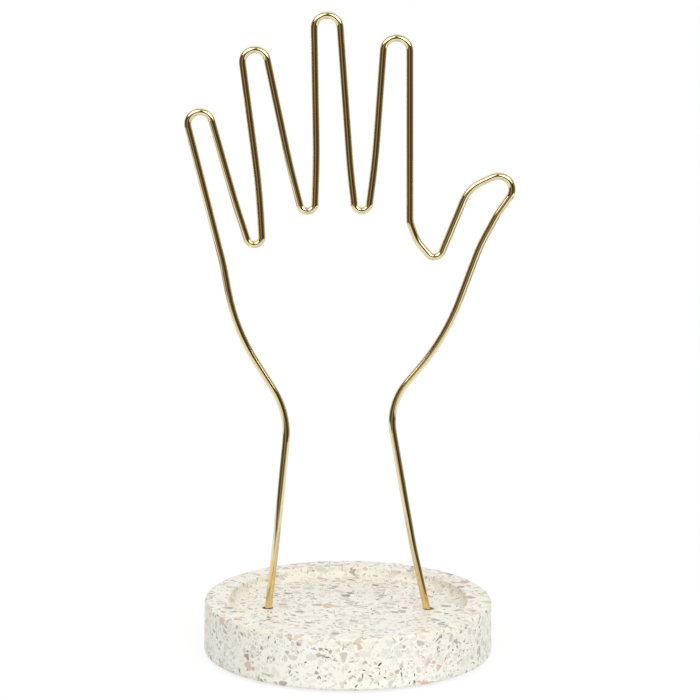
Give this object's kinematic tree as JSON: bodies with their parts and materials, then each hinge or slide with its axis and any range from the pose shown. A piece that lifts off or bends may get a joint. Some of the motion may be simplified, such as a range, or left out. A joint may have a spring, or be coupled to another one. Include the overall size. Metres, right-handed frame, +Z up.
{
  "type": "wire hand jewellery stand",
  "caption": "Upright outline of an open hand bent from round brass-coloured wire, standing in a round shallow terrazzo dish on felt pads; holds rings and small jewellery.",
  "frame": {"origin": "on the dish's axis, at the level of the table under the felt pads", "axes": "+Z up; +X across the hand towards the thumb; +Y from the front of the stand to its back; the wire lies in the plane Y = 0"},
  "size_m": [0.1355, 0.12, 0.2704],
  "materials": {
    "terrazzo": "honed and sealed terrazzo, off-white with beige, grey, terracotta and charcoal chips",
    "brass_wire": "polished",
    "adhesive": "cured amber adhesive",
    "felt": "pressed wool felt"
  },
  "bodies": {
    "root": {"terrazzo_dish": "terrazzo", "hand_wire": "brass_wire", "glue_plug_left": "adhesive", "glue_plug_right": "adhesive", "felt_pad_front_left": "felt", "felt_pad_front_right": "felt", "felt_pad_back_left": "felt", "felt_pad_back_right": "felt"}
  },
  "joints": []
}
